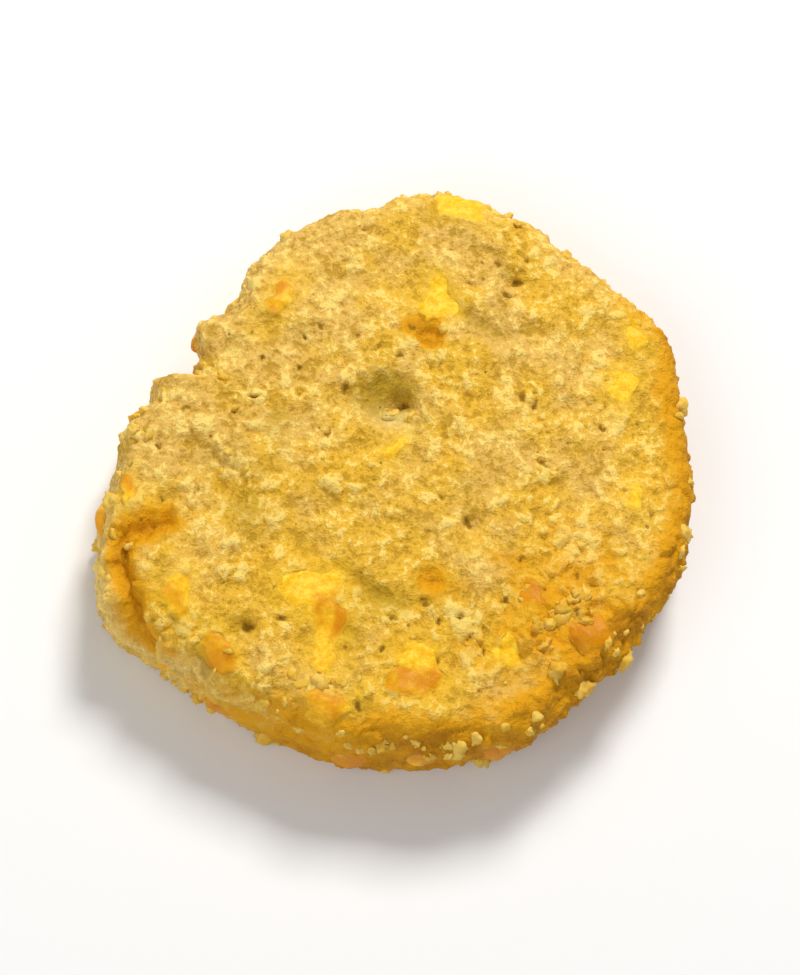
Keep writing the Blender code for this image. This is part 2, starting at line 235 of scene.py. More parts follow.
def turnedBlank():
    d = dough
    section = [(0.0, d["height"])]
    for step in range(d["shoulderSteps"] + 1):
        angle = math.radians(90 - step * 90 / d["shoulderSteps"])
        section.append((
            d["radius"] + d["shoulder"] * (math.cos(angle) - 1),
            d["height"] + d["shoulder"] * (math.sin(angle) - 1),
        ))
    section.append((d["radius"] + d["bulge"], (d["height"] - d["shoulder"] + d["foot"]) / 2))
    for step in range(d["footSteps"] + 1):
        angle = math.radians(-step * 90 / d["footSteps"])
        section.append((
            d["radius"] + d["foot"] * (math.cos(angle) - 1),
            d["foot"] * (1 + math.sin(angle)),
        ))
    section.append((0.0, 0.0))
    mesh = bpy.data.meshes.new("biscuitDough")
    mesh.from_pydata([(r, 0.0, z) for r, z in section], [(i, i + 1) for i in range(len(section) - 1)], [])
    blank = newObject("biscuitDough", mesh)
    turn = blank.modifiers.new("Turn", "SCREW")
    turn.steps = d["turnSteps"]
    turn.render_steps = d["turnSteps"]
    turn.use_merge_vertices = True
    turn.merge_threshold = d["mergeGap"]
    even = blank.modifiers.new("Even faces", "REMESH")
    even.mode = "VOXEL"
    even.voxel_size = d["faceSize"]
    applyModifiers(blank)
    return blank


def bumpsRound(angles, bumps):
    total = np.zeros(len(angles))
    for middle, reach, out in bumps:
        total += out * mm * np.exp(-((turnBetween(angles, middle) / reach) ** 2))
    return total


def edgeRadius(angles, heights):
    d = dough
    turns = np.radians(angles)
    around = np.stack((np.cos(turns), np.sin(turns), np.full(len(turns), d["wobbleLevel"])), axis=1)
    nicked = d["nickAtFoot"] + (1 - d["nickAtFoot"]) * smoothStep(*d["nickRise"], heights)
    radius = d["radius"] + bumpsRound(angles, d["edgeShape"])
    radius += nicked * bumpsRound(angles, d["edgeNicks"])
    radius += smoothStep(*d["tuckFade"], heights) * bumpsRound(angles, d["footTucks"])
    return radius + d["wobble"] * waves(around, d["wobbleSize"], 0.0)


def distanceToLine(places, line):
    nearest = np.full(len(places), dough["radius"])
    for start, end in zip(line, line[1:]):
        start = np.array(start) * mm
        along = np.array(end) * mm - start
        share = np.clip((places - start) @ along / (along @ along), 0.0, 1.0)
        nearest = np.minimum(nearest, np.linalg.norm(places - start - share[:, None] * along, axis=1))
    return nearest


def pitsAt(flat):
    depth = np.zeros(len(flat))
    for pit in dough["pits"]:
        x, y, radius, deep = (value * mm for value in pit)
        away = np.linalg.norm(flat - np.array((x, y)), axis=1) / radius
        depth += deep * np.clip(1 - away * away, 0.0, 1.0) ** dough["pitCurve"]
    return depth


def furrowAt(places, furrow):
    line, halfWidth, deep = furrow
    away = distanceToLine(places, line) / halfWidth
    return deep * np.exp(-dough["furrowSteepness"] * away * away)


def shareBetween(angles, ends):
    start, end = ends
    fromMiddle = np.abs(turnBetween(angles, (start + end) / 2)) / ((end - start) / 2)
    return 1 - smoothStep(dough["stretchFade"], 1.0, fromMiddle)


def seamAt(angles, places):
    swaySize, swayHeight = dough["seamSway"]
    sway = swayHeight * waves(places, swaySize, 0.0)
    off = (places[:, 2] - dough["seamHeight"] - sway) / dough["seamHalfWidth"]
    stretches = sum(shareBetween(angles, ends) for ends in dough["seamAngles"])
    return dough["seamDepth"] * np.exp(-off * off) * stretches


def lipAt(angles, places):
    off = (places[:, 2] - dough["lipHeight"]) / dough["lipHalfWidth"]
    uneven = dough["lipMean"] + waves(places, dough["lipWaveSize"], 0.0)
    return dough["lipReach"] * uneven * shareBetween(angles, dough["lipAngles"]) * np.exp(-off * off)


def lumpsAt(places, crumbly):
    swellSize, swellHeight, swellSeed = dough["swell"]
    lumpSize, lumpHeight, lumpSeed = dough["lump"]
    creaseSize, creaseDepth, creaseSeed = dough["crease"]
    height = swellHeight * waves(places, swellSize, swellSeed)
    height += lumpHeight * waves(places, lumpSize, lumpSeed)
    height -= creaseDepth * np.abs(waves(places, creaseSize, creaseSeed))
    crumbleSize, crumbleHeight, crumbleSeed = dough["crumble"]
    crumble = dough["crumblyLift"] + crumbleHeight * waves(places, crumbleSize, crumbleSeed)
    return height + crumbly * crumble


# The sandy surface of the crust, with some crumbs that stand up from it
def crustAt(places, rough):
    bendSize, bendReach, bendSeeds = dough["pressedBend"]
    bend = np.stack([waves(places, bendSize, seed) for seed in bendSeeds], axis=1)
    bent = places + bendReach * bend
    blur = dough["pressedBlur"]
    height = np.zeros(len(places))
    for size, rise, share, seed in dough["pressedCrumbs"]:
        inside, lot = grains(bent, size, seed)
        standing = smoothStep(1 - blur - share, 1 + blur - share, lot)
        height += rise * rough * standing * smoothStep(0.0, dough["pressedEdge"], inside)
    for size, rise, seed in dough["fineWaves"]:
        height += rise * rough * waves(places, size, seed)
    return height


def roughnessAt(places, crumbly, crackShare):
    size, height, seed = dough["roughWaves"]
    rough = dough["roughMean"] + height * waves(places, size, seed)
    rough = rough + dough["roughCrumbly"] * crumbly + dough["roughCrack"] * crackShare
    return np.clip(rough, *dough["roughRange"])


def poresAt(flat, bend, dice):
    d = dough
    spots = [(x * mm, y * mm, d["poreScale"] * radius * mm, d["poreDepth"]) for x, y, radius in d["pores"]]
    for _ in range(d["strayPores"]):
        away = d["radius"] * d["strayPoreField"] * math.sqrt(dice.random())
        turn = dice.uniform(0, 2 * math.pi)
        radius = dice.uniform(*d["strayPoreRadius"])
        deep = radius * dice.uniform(*d["strayPoreDepth"])
        spots.append((away * math.cos(turn), away * math.sin(turn), radius, deep))
    depth = np.zeros(len(flat))
    for x, y, radius, deep in spots:
        # each is drawn out its own way
        slant = dice.uniform(0, math.pi)
        dx, dy = flat[:, 0] + bend[0] - x, flat[:, 1] + bend[1] - y
        along = (dx * math.cos(slant) + dy * math.sin(slant)) / dice.uniform(*d["poreStretch"])
        across = (dy * math.cos(slant) - dx * math.sin(slant)) * d["poreNarrowing"]
        filled = smoothStep(*d["poreEdge"], np.hypot(along, across) / radius)
        depth = np.maximum(depth, deep * (1 - filled))
    return depth


# How near a place is to the crumbly patch, from 0 to 1
def crumblyShare(flat):
    away = np.linalg.norm(flat - np.array(dough["crumblyPlace"]), axis=1) / dough["crumblyReach"]
    return np.exp(-away * away)


def makeDough():
    d = dough
    blank = turnedBlank()
    mesh = blank.data
    start = vertexPlaces(mesh)
    normals = vertexNormals(mesh)
    angles = np.degrees(np.arctan2(start[:, 1], start[:, 0])) % 360.0
    heights = start[:, 2] / d["height"]
    out = np.hypot(start[:, 0], start[:, 1]) / d["radius"]
    widen = 1 + (edgeRadius(angles, heights) / d["radius"] - 1) * smoothStep(*d["widening"], out)
    places = start * np.stack((widen, widen, np.ones(len(widen))), axis=1)
    places[:, 2] += d["crown"] * heights * (1 - out * out)
    below = start[:, 2] < d["trayFilm"]
    places[below, 2] = 0.0
    lifted = ~below
    spot = places[lifted]
    flat = spot[:, :2]
    facing = normals[lifted]
    angle = angles[lifted]
    onTop = smoothStep(*d["topFacing"], facing[:, 2])
    onWall = smoothStep(*d["wallFacing"], np.abs(facing[:, 2]))
    crumbly = crumblyShare(flat)
    crack = furrowAt(spot, d["flapCrack"])
    crackShare = crack / d["flapCrack"][2]
    furrows = sum(furrowAt(flat, furrow) for furrow in d["furrows"])
    furrows = furrows * smoothStep(*d["furrowRise"], heights[lifted])
    seam = seamAt(angle, spot) * onWall
    broad = lumpsAt(spot, crumbly) - crack - pitsAt(flat) * onTop - furrows - seam
    broad = broad + lipAt(angle, spot) * onWall
    crust = crustAt(spot, roughnessAt(spot, crumbly, crackShare))
    bendSize, bendReach, bendSeeds = d["poreBend"]
    bend = [bendReach * waves(spot, bendSize, seed) for seed in bendSeeds]
    pores = poresAt(flat, bend, random.Random(d["poreSeed"])) * onTop
    field, tone = cheeseField(flat, onTop)
    melted = smoothStep(*cheese["patchEdge"], field)
    fine = (crust - pores) * (1 - cheese["patchSmoothing"] * melted) + cheese["patchRise"] * melted
    broad = broad * smoothStep(*d["broadRise"], start[lifted, 2])
    fine = fine * smoothStep(*d["fineRise"], start[lifted, 2])
    spot = spot + facing * (broad + fine)[:, None]
    spot[:, 2] = np.maximum(0.0, spot[:, 2])
    places[lifted] = spot
    moveVertices(mesh, places)
    markDough(mesh, lifted, {
        "spot": spot, "flat": flat, "angle": angle, "high": heights[lifted], "out": out[lifted],
        "onTop": onTop, "onWall": onWall, "crumbly": crumbly, "crackShare": crackShare,
        "furrows": furrows, "seam": seam, "crust": crust, "pores": pores, "field": field, "tone": tone,
    })
    return blank, below


# Where the crust has browned or stayed pale, and where painted olive shade lies in it
doughTones = {
    "hollowLevel": 0.08 * mm,
    "hollowRange": 0.7 * mm,
    "poreRange": 0.6 * mm,
    "poreShade": (0.08 * mm, 0.24 * mm),
    "fieldRange": 4 * mm,
    # what the underside has
    "undersideHollow": 0.5,
    "undersideToast": 0.75,
    "warmPatches": (4.5 * mm, 17.0),
    # the front and right side browned most, fading slowly towards the left and the back
    "rimStart": 0.84,
    "rimMiddle": 320.0,
    "rimReach": 80.0,
    "rimToast": 0.85,
    "rimMean": 0.6,
    # painted shade along the right rim, darkening it as the toasting does
    "rightRimShadeStart": 0.88,
    "rightRimShadeAngles": (300.0, 400.0),
    "rightRimPaintedShade": 0.25,
    # the wall outside the crack stayed pale
    "paleWallMiddle": 216.0,
    "paleWallReach": 30.0,
    "paleWallShare": 0.85,
    "paleWallTint": 0.35,
    "crackToast": 0.5,
    "crackGlow": 0.75,
    "crackGlowReach": 1.9 * mm,
    "crumblyToast": 0.5,
    "crumblyMean": 0.5,
    # the wall browned more towards the tray
    "wallToast": (0.05, 0.45),
    "wallToastHeight": 0.75,
    "wallPatches": (0.6, 0.7),
    # browning that grows from the back left to the front right of the top face
    "slopeToast": 0.22,
    "slopeStretch": (-4 * mm, 20 * mm),
    "slopeWay": (0.5, 0.8),
    "tanStretch": (-2 * mm, 18 * mm),
    "tanWay": (0.8, 0.6),
    # spots that browned: place, radius and strength, in millimetres
    "toastedSpots": (
        (1.2, 10.9, 1.0, 1.1), (2.8, 11.0, 1.1, 1.1), (2.6, 9.9, 0.9, 1.1), (2.1, -9.9, 1.3, 0.8),
    ),
    "paleSpots": ((-0.6, 3.5, 1.1, 0.9), (-6.6, -18.4, 1.7, 0.8)),
    # the shade in a pit lies towards its upper left side
    "pitShadeShift": (-0.25, 0.55),
    "pitShadeRange": 1.6 * mm,
    "furrowShade": 0.6,
    "furrowShadeRange": 0.45 * mm,
    "seamShade": 0.5,
    # soft olive brown spots of painted shade around pits: place, radius and strength, in millimetres
    "paintedShadeSpots": (
        (-9.7, 2.9, 1.2, 0.6), (-12.6, 0.4, 0.9, 0.4), (-7.7, 10.6, 0.9, 0.35), (-12.7, 9.1, 0.9, 0.4),
        (-10.3, -0.9, 1.1, 0.4), (-12.1, -4.5, 1.7, 0.6), (-2.2, -11.4, 1.5, 0.45), (-4.4, -14.2, 1.3, 0.4),
        (2.0, -11.2, 1.0, 0.5), (5.0, -15.0, 1.4, 0.35), (1.6, 2.9, 1.1, 0.5), (-3.3, 4.6, 1.4, 0.35),
        (0.2, 5.4, 1.4, 0.75), (-1.2, 3.9, 1.2, 0.6), (-1.6, 6.2, 1.3, 0.4),
    ),
}


# Soft round spots: each one's middle and radius in millimetres, and its strength
def spotsAt(flat, spots):
    total = np.zeros(len(flat))
    for x, y, radius, strength in spots:
        away = np.linalg.norm(flat - np.array((x, y)) * mm, axis=1) / (radius * mm)
        total += strength * np.exp(-(away ** 2))
    return total


# Values for the lifted vertices alone, and one value for all the others
def spread(values, lifted, rest):
    whole = np.full(len(lifted), float(rest))
    whole[lifted] = values
    return whole


def toastingAndRimShadeAt(at, warm, browner):
    t = doughTones
    crackAway = distanceToLine(at["spot"], dough["flapCrack"][0]) / t["crackGlowReach"]
    toasted = t["crackToast"] * at["crackShare"] + t["crackGlow"] * np.exp(-(crackAway ** 2))
    toasted += t["crumblyToast"] * at["crumbly"] * (t["crumblyMean"] + warm)
    rimTurn = turnBetween(at["angle"], t["rimMiddle"]) / t["rimReach"]
    rim = smoothStep(t["rimStart"], 1.0, at["out"]) * np.exp(-(rimTurn ** 4))
    toasted += t["rimToast"] * rim * (t["rimMean"] + warm)
    # painted shade along the right rim, added to the toasting
    rightRimShade = smoothStep(t["rightRimShadeStart"], 1.0, at["out"]) * shareBetween(at["angle"], t["rightRimShadeAngles"])
    toasted += t["rightRimPaintedShade"] * rightRimShade
    wallTop, wallFoot = t["wallToast"]
    patchMean, patchDepth = t["wallPatches"]
    wall = wallTop + wallFoot * (1 - smoothStep(0.0, t["wallToastHeight"], at["high"]))
    toasted += at["onWall"] * wall * (patchMean + patchDepth * warm) * browner
    x, y = at["flat"][:, 0], at["flat"][:, 1]
    alongX, alongY = t["slopeWay"]
    toasted += t["slopeToast"] * smoothStep(*t["slopeStretch"], alongX * x - alongY * y)
    return toasted + spotsAt(at["flat"], t["toastedSpots"])


# Marks: painted shade in the hollows, cheese, and toasted with painted shade at the right rim, then pale
# crumb, painted olive shade and the cheese's own browning, then tan and the painted shade of the pores
def markDough(mesh, lifted, at):
    t = doughTones
    flat, onTop, onWall = at["flat"], at["onTop"], at["onWall"]
    # painted shade mask: high in the crust's low places and pores, low on its raised crumbs
    paintedHollowShade = 0.5 - (at["crust"] - t["hollowLevel"]) / t["hollowRange"] + at["pores"] / t["poreRange"]
    melt = 0.5 + at["field"] / t["fieldRange"]
    warm = 0.5 + 0.5 * waves(at["spot"], *t["warmPatches"])
    paleTurn = turnBetween(at["angle"], t["paleWallMiddle"]) / t["paleWallReach"]
    browner = 1 - t["paleWallShare"] * np.exp(-(paleTurn ** 2))
    toasted = toastingAndRimShadeAt(at, warm, browner)
    # painted olive shade in pits, furrows, the seam and spots around pits
    paintedOliveShade = pitsAt(flat - np.array(t["pitShadeShift"]) * mm) * onTop / t["pitShadeRange"]
    paintedOliveShade += t["furrowShade"] * at["furrows"] / t["furrowShadeRange"]
    paintedOliveShade += t["seamShade"] * at["seam"] / dough["seamDepth"]
    paintedOliveShade += spotsAt(flat, t["paintedShadeSpots"]) * onTop
    pale = spotsAt(flat, t["paleSpots"]) + t["paleWallTint"] * (1 - browner) * onWall
    alongY, alongX = t["tanWay"]
    tan = smoothStep(*t["tanStretch"], alongY * flat[:, 1] - alongX * flat[:, 0]) + (1 - browner) * onWall
    # painted shade in the pores
    paintedPoreShade = smoothStep(*t["poreShade"], at["pores"])
    marks = ((paintedHollowShade, t["undersideHollow"]), (melt, 0), (toasted, t["undersideToast"]))
    writeMarks(mesh, "crustMarks", *[spread(values, lifted, rest) for values, rest in marks])
    writeMarks(mesh, "crustTintsAndShade", *[spread(values, lifted, 0) for values in (pale, paintedOliveShade, at["tone"])])
    writeMarks(mesh, "crustTanAndPoreShade", spread(tan, lifted, 0), spread(paintedPoreShade, lifted, 0), np.zeros(len(lifted)))


# The underside needs few faces, so it is thinned out
def thinUnderside(piece, below):
    group = piece.vertex_groups.new(name="underside")
    group.add(np.flatnonzero(below).tolist(), 1.0, "REPLACE")
    thin = piece.modifiers.new("Thin underside", "DECIMATE")
    thin.vertex_group = "underside"
    thin.ratio = 1 - dough["undersideThinned"] * below.sum() / len(below)
    applyModifiers(piece)


# Bits of melted cheese: those in the top face are low patches of the dough's mesh,
# those in the wall are a piece of their own

cheese = {
    # in millimetres X, Y, length and width, then turn in degrees, and how orange it has toasted
    "topBits": (
        (-6.4, -12.7, 6.6, 2.5, 100.0, 0.6), (0.5, -17.6, 4.0, 3.4, 20.0, 0.75),
        (-6.7, -20.2, 2.8, 2.4, 0.0, 0.6), (-14.4, -16.2, 3.2, 2.2, 130.0, 0.9),
        (-17.6, -11.4, 3.4, 2.2, 105.0, 0.5), (7.8, -15.4, 2.6, 1.8, 50.0, 0.2),
        (14.6, -14.2, 3.2, 2.4, 30.0, 1.0), (10.2, -11.0, 2.4, 1.9, 80.0, 1.0),
        (17.9, 5.9, 2.8, 2.0, 75.0, 0.15), (19.0, 10.6, 2.2, 1.5, 120.0, 0.1),
        (5.2, 21.4, 4.0, 2.4, 170.0, 0.0), (-9.4, 13.0, 3.4, 1.5, 55.0, 0.6),
        (2.8, 12.9, 3.0, 2.3, 40.0, 0.0), (-0.5, 0.6, 2.0, 1.4, 60.0, 0.1),
        (18.2, -3.2, 1.7, 1.2, 95.0, 0.0), (-21.4, -2.6, 2.2, 1.4, 100.0, 0.5),
    ),
    # parts of them that spread wider or toasted otherwise
    "patches": (
        (-7.1, -10.7, 4.4, 2.8, 8.0, 0.0), (-6.3, -15.9, 3.2, 2.0, 95.0, 0.35),
        (-5.2, -13.4, 2.2, 1.8, 60.0, 1.0), (0.6, -16.7, 3.4, 3.0, 0.0, 0.0),
        (-5.6, -20.4, 3.0, 1.5, 20.0, 0.6), (3.4, 14.2, 1.8, 1.4, 90.0, 0.0),
    ),
    # places where cheese has only soaked in: X, Y and radius in millimetres, and strength
    "flushes": (
        (5.5, -7.0, 2.6, 0.75), (2.4, 10.5, 1.5, 0.7), (-18.6, -10.4, 2.4, 0.6), (8.8, 3.0, 2.2, 0.5),
        (-3.6, 19.0, 2.5, 0.4), (14.0, 9.2, 2.2, 0.5), (18.4, 8.2, 2.4, 0.7), (3.6, -20.6, 3.0, 0.6),
        (-10.8, -19.6, 2.5, 0.4), (8.5, -14.0, 3.4, 0.5), (17.0, -8.0, 3.2, 0.4), (-22.0, -9.0, 2.6, 0.6),
    ),
    # size, reach and seeds of the waves that bend the patches' outlines
    "bends": ((1.9 * mm, 0.8 * mm, (41.0, 43.0)), (0.7 * mm, 0.3 * mm, (45.0, 47.0))),
    # the field's value far from any patch
    "away": -2 * mm,
    "toneBlend": 0.22 * mm,
    "toneWaves": (1.2 * mm, 0.35, 49.0),
    "flushDepth": 1.7 * mm,
    "flushEdge": (0.2, 1.1),
    "topShare": 0.3,
    # soft edge, smoothing and rise of a patch
    "patchEdge": (-0.1 * mm, 0.2 * mm),
    "patchSmoothing": 0.6,
    "patchRise": 0.3 * mm,
    "faceSize": 0.16 * mm,
    "wallBits": 17,
    "wallLength": (1.8 * mm, 3.6 * mm),
    "wallWidth": (0.55, 0.85),
    "wallHeight": (2.4 * mm, 6.2 * mm),
    "wallSpread": 0.4,
    "wallTilt": 0.6,
    "wallThickness": 0.8,
    "wallSunk": 0.26,
    "wallFineness": 4,
    "wallCuts": (0.42, 0.52),
    "wallRough": 0.12,
    # size, height and seed of each run of waves over them
    "wallRelief": ((1.6 * mm, 0.3 * mm, 51.0), (0.7 * mm, 0.12 * mm, 52.0), (0.35 * mm, 0.05 * mm, 53.0)),
    # their browning: a step from bit to bit and waves, and painted shade that makes them more orange at the
    # front
    "wallToneStep": (0.37, 0.9),
    "wallToneWaves": (1.4 * mm, 0.3, 54.0),
    "frontPaintedShade": 0.35,
    "frontShadeFacing": (0.2, 0.9),
    "reliefRange": 0.4 * mm,
}


# How far each place is inside the nearest patch of cheese, in metres, and how toasted the cheese is there
def cheeseField(flat, onTop):
    spots = np.column_stack((flat, np.zeros(len(flat))))
    bent = flat.copy()
    for size, reach, seeds in cheese["bends"]:
        bent += reach * np.stack([waves(spots, size, seed) for seed in seeds], axis=1)
    field = np.full(len(flat), cheese["away"])
    toasted = np.zeros(len(flat))
    # never quite zero, so that the division below holds
    weight = np.full(len(flat), 1e-9)
    for *sizes, turn, toast in cheese["topBits"] + cheese["patches"]:
        x, y, length, width = (value * mm for value in sizes)
        c, s = math.cos(math.radians(turn)), math.sin(math.radians(turn))
        dx, dy = bent[:, 0] - x, bent[:, 1] - y
        along = np.abs(dx * c + dy * s) / (length / 2)
        across = np.abs(dy * c - dx * s) / (width / 2)
        inside = (1 - (along ** 3 + across ** 3) ** (1 / 3)) * width / 2
        # where patches meet, the one that a place is further inside counts for more
        share = np.exp(np.maximum(inside, cheese["away"]) / cheese["toneBlend"])
        toasted += toast * share
        weight += share
        field = np.maximum(field, inside)
    size, height, seed = cheese["toneWaves"]
    tone = toasted / weight + height * waves(spots, size, seed)
    for *sizes, strength in cheese["flushes"]:
        x, y, radius = (value * mm for value in sizes)
        away = np.hypot(bent[:, 0] - x, bent[:, 1] - y) / radius
        soaked = strength * (1 - smoothStep(*cheese["flushEdge"], away))
        field = np.maximum(field, cheese["away"] + cheese["flushDepth"] * soaked)
    return np.where(onTop > cheese["topShare"], field, cheese["away"]), tone


chunk = {
    "cuts": 9,
    # how far a part may reach, as a share of the piece's size
    "reach": 0.6,
    "leastFacing": 0.05,
    "bumps": 2.6,
    "fineBumps": 6.0,
    "fineShare": 0.4,
}


# A broken piece: a ball cut by flat planes and roughened, then stretched, turned and put in its place
def addChunk(ball, dice, place, size, turned, fineness, cuts, rough):
    made = bmesh.ops.create_icosphere(ball, subdivisions=fineness, radius=1.0)["verts"]
    seed = Vector((dice.uniform(0, 90), dice.uniform(0, 90), dice.uniform(0, 90)))
    planes = []
    for _ in range(chunk["cuts"]):
        way = Vector((dice.gauss(0, 1), dice.gauss(0, 1), dice.gauss(0, 1))).normalized()
        planes.append((way, dice.uniform(*cuts)))
    for vertex in made:
        cut = [off / max(chunk["leastFacing"], way.dot(vertex.co)) for way, off in planes]
        reach = min(cut + [chunk["reach"]])
        bumps = 1 + rough * noise.noise(vertex.co * chunk["bumps"] + seed)
        bumps += chunk["fineShare"] * rough * noise.noise(vertex.co * chunk["fineBumps"] + seed)
        vertex.co = turned @ (vertex.co * size * reach * bumps) + place


def wallSpot(tree, angle, height):
    out = Vector((math.cos(math.radians(angle)), math.sin(math.radians(angle)), 0.0))
    place, _, _, _ = tree.ray_cast(out * 2 * dough["radius"] + Vector((0, 0, height)), -out)
    return place, out


# The surface above a place, facing as it does on average there
def topSpot(tree, x, y, reach):
    normal = Vector((0, 0, 0))
    for dx, dy in ((reach, 0), (-reach, 0), (0, reach), (0, -reach), (0, 0)):
        place, facing, _, _ = tree.ray_cast(Vector((x + dx, y + dy, 2 * dough["height"])), Vector((0, 0, -1)))
        if place is None:
            return None, None
        normal += facing
    return place, normal.normalized()


def makeCheese(tree, sharedDice, dice):
    c = cheese
    ball = bmesh.new()
    middles = []
    for number in range(c["wallBits"]):
        angle = (number + sharedDice.uniform(-c["wallSpread"], c["wallSpread"])) * 360.0 / c["wallBits"]
        place, out = wallSpot(tree, angle, sharedDice.uniform(*c["wallHeight"]))
        length = sharedDice.uniform(*c["wallLength"])
        width = length * sharedDice.uniform(*c["wallWidth"])
        tilt = sharedDice.uniform(-c["wallTilt"], c["wallTilt"])
        turned = Euler((tilt, 0, math.radians(angle))).to_matrix()
        size = Vector((width * c["wallThickness"], length, width))
        sunk = place - out * width * c["wallSunk"]
        addChunk(ball, dice, sunk, size, turned, c["wallFineness"], c["wallCuts"], c["wallRough"])
        middles.append(place)
    mesh = bpy.data.meshes.new("cheeseBits")
    ball.to_mesh(mesh)
    ball.free()
    bits = newObject("cheeseBits", mesh)
    melt = bits.modifiers.new("Melt together", "REMESH")
    melt.mode = "VOXEL"
    melt.voxel_size = c["faceSize"]
    applyModifiers(bits)
    mesh = bits.data
    places, normals = vertexPlaces(mesh), vertexNormals(mesh)
    relief = sum(height * waves(places, size, seed) for size, height, seed in c["wallRelief"])
    moveVertices(mesh, places + normals * relief[:, None])
    nearest = np.argmin([np.linalg.norm(places - np.array(m), axis=1) for m in middles], axis=0)
    toneStep, toneTop = c["wallToneStep"]
    size, height, seed = c["wallToneWaves"]
    tone = (toneStep * nearest) % toneTop + height * waves(places, size, seed)
    # painted shade: more orange on the side that faces the front
    tone += c["frontPaintedShade"] * smoothStep(*c["frontShadeFacing"], -normals[:, 1])
    # the first mark is low on the cheese's raised parts, where its material paints a highlight
    writeMarks(mesh, "crustMarks", 0.5 - relief / c["reliefRange"], np.ones(len(places)), tone)
    return bits


# Crumbs of dough that cling to the edges and lie on the crust

crumbs = {
    # the solid's own larger crumbs
    "big": 26,
    "bigSize": (0.9 * mm, 1.9 * mm),
    "bigHeight": (6.8 * mm, 7.9 * mm),
    "bigSpread": 0.4,
    "bigSunk": 0.2,
    # every third of them sits at the foot
    "footEvery": 3,
    "footLevel": 0.75,
    # how many finer ones of each kind there are, their sizes, and how far they are sunk in
    "edge": 60,
    "edgeSize": (0.4 * mm, 1.2 * mm),
    "edgeHeight": (6.2 * mm, 8.9 * mm),
    "edgeSunk": 0.18,
    # more of them at the front, where the crust is rougher: middle and spread in degrees, and share
    "edgeFront": (262, 55),
    "edgeFrontShare": 0.7,
    "foot": 50,
    "footSize": (0.4 * mm, 1.2 * mm),
    "footHeight": (0.55, 1.5),
    "footSunk": 0.15,
    "top": 34,
    "topSize": (0.4 * mm, 0.8 * mm),
    "topField": 0.92,
    "topSunk": 0.24,
    "topProbe": 0.2 * mm,
    "cluster": 34,
    "clusterSize": (0.5 * mm, 1.3 * mm),
    "clusterSpread": (2.6 * mm, 2.0 * mm),
    # how each is stretched, cut and roughened, and from which size it has more faces
    "stretch": ((0.75, 1.25), (0.75, 1.25), (0.6, 1.0)),
    "cuts": (0.34, 0.54),
    "rough": 0.42,
    "fineFrom": 0.7 * mm,
    # browning: low down, in the crumbly patch and in waves
    # the crumbs' level of the painted hollow shade mark
    "paintedHollowShade": 0.3,
    "lowToast": 0.3,
    "lowRange": (0.5 * mm, 6 * mm),
    "crumblyToast": 0.55,
    "toastWaves": (3 * mm, 0.35, 61.0),
    # crumbs that stand out in the photo: X, Y and size in millimetres
    "named": (
        (-0.4, 4.2, 1.0), (0.9, 3.5, 0.8), (-1.4, 3.9, 0.7), (-6.6, -18.2, 1.7), (-7.9, -18.5, 1.3),
        (-5.0, -18.2, 1.1), (-8.6, -17.6, 0.9), (-6.0, -19.2, 1.0), (-15.6, 6.8, 1.1),
        (-13.9, 6.4, 0.9), (-19.6, 1.4, 1.0),
        (3.6, 10.9, 0.8), (13.1, 14.6, 0.8), (9.5, 15.9, 0.7), (-17.9, -16.6, 1.0), (-16.6, -18.0, 0.9),
        (-15.4, -19.0, 0.8), (0.8, -22.6, 1.0), (3.2, -22.7, 1.2), (5.4, -22.3, 1.1),
    ),
}


def addCrumb(ball, dice, place, across):
    stretch = Vector([dice.uniform(*ends) for ends in crumbs["stretch"]])
    spin = Euler([dice.uniform(0, 6.3) for _ in range(3)]).to_matrix()
    fineness = 3 if across > crumbs["fineFrom"] else 2
    addChunk(ball, dice, place, stretch * across, spin, fineness, crumbs["cuts"], crumbs["rough"])


